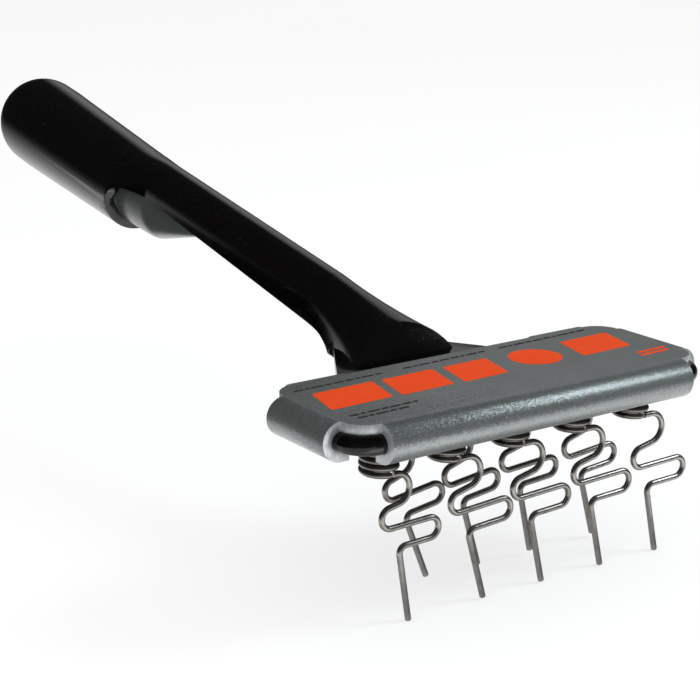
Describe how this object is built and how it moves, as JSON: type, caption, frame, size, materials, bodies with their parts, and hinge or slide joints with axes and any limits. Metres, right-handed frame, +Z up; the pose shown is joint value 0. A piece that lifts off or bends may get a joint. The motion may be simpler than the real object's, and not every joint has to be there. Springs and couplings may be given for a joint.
{
  "type": "undercoat rake",
  "caption": "Undercoat rake: a round-ended handle with a wide head under a curled sheet-metal cover, and two staggered rows of sprung, looped wire tines.",
  "frame": {"origin": "middle of the flat top of the head's cover", "axes": "+Z up, square off the cover's top; +Y towards the handle; +X along the head, the side that the tines' loops lean to"},
  "size_m": [0.1, 0.2514, 0.087],
  "materials": {
    "handle_plastic": "gloss",
    "plug_plastic": "gloss",
    "cover_sheet": "satin metallic grey",
    "tine_wire": "polished spring steel"
  },
  "bodies": {
    "rake": {"handle": "handle_plastic", "head_cover": "cover_sheet", "grip_plug": "plug_plastic", "coil_front_1": "tine_wire", "coil_front_2": "tine_wire", "coil_front_3": "tine_wire", "coil_front_4": "tine_wire", "coil_front_5": "tine_wire", "coil_back_1": "tine_wire", "coil_back_2": "tine_wire", "coil_back_3": "tine_wire", "coil_back_4": "tine_wire"},
    "tine_front_1": {"tine_front_1": "tine_wire"},
    "tine_front_2": {"tine_front_2": "tine_wire"},
    "tine_front_3": {"tine_front_3": "tine_wire"},
    "tine_front_4": {"tine_front_4": "tine_wire"},
    "tine_front_5": {"tine_front_5": "tine_wire"},
    "tine_back_1": {"tine_back_1": "tine_wire"},
    "tine_back_2": {"tine_back_2": "tine_wire"},
    "tine_back_3": {"tine_back_3": "tine_wire"},
    "tine_back_4": {"tine_back_4": "tine_wire"}
  },
  "joints": [
    {"name": "front_1_flex", "type": "hinge", "parent": "rake", "child": "tine_front_1", "pos_m": [-0.0341, -0.0106, -0.0136], "axis": [1, 0, 0], "range_deg": [-15, 15], "stiffness_Nm_per_rad": 0.12},
    {"name": "front_2_flex", "type": "hinge", "parent": "rake", "child": "tine_front_2", "pos_m": [-0.01705, -0.0106, -0.0136], "axis": [1, 0, 0], "range_deg": [-15, 15], "stiffness_Nm_per_rad": 0.12},
    {"name": "front_3_flex", "type": "hinge", "parent": "rake", "child": "tine_front_3", "pos_m": [0, -0.0106, -0.0136], "axis": [1, 0, 0], "range_deg": [-15, 15], "stiffness_Nm_per_rad": 0.12},
    {"name": "front_4_flex", "type": "hinge", "parent": "rake", "child": "tine_front_4", "pos_m": [0.01705, -0.0106, -0.0136], "axis": [1, 0, 0], "range_deg": [-15, 15], "stiffness_Nm_per_rad": 0.12},
    {"name": "front_5_flex", "type": "hinge", "parent": "rake", "child": "tine_front_5", "pos_m": [0.0341, -0.0106, -0.0136], "axis": [1, 0, 0], "range_deg": [-15, 15], "stiffness_Nm_per_rad": 0.12},
    {"name": "back_1_flex", "type": "hinge", "parent": "rake", "child": "tine_back_1", "pos_m": [-0.02558, 0.0034, -0.0136], "axis": [1, 0, 0], "range_deg": [-15, 15], "stiffness_Nm_per_rad": 0.12},
    {"name": "back_2_flex", "type": "hinge", "parent": "rake", "child": "tine_back_2", "pos_m": [-0.00852, 0.0034, -0.0136], "axis": [1, 0, 0], "range_deg": [-15, 15], "stiffness_Nm_per_rad": 0.12},
    {"name": "back_3_flex", "type": "hinge", "parent": "rake", "child": "tine_back_3", "pos_m": [0.00852, 0.0034, -0.0136], "axis": [1, 0, 0], "range_deg": [-15, 15], "stiffness_Nm_per_rad": 0.12},
    {"name": "back_4_flex", "type": "hinge", "parent": "rake", "child": "tine_back_4", "pos_m": [0.02558, 0.0034, -0.0136], "axis": [1, 0, 0], "range_deg": [-15, 15], "stiffness_Nm_per_rad": 0.12}
  ]
}
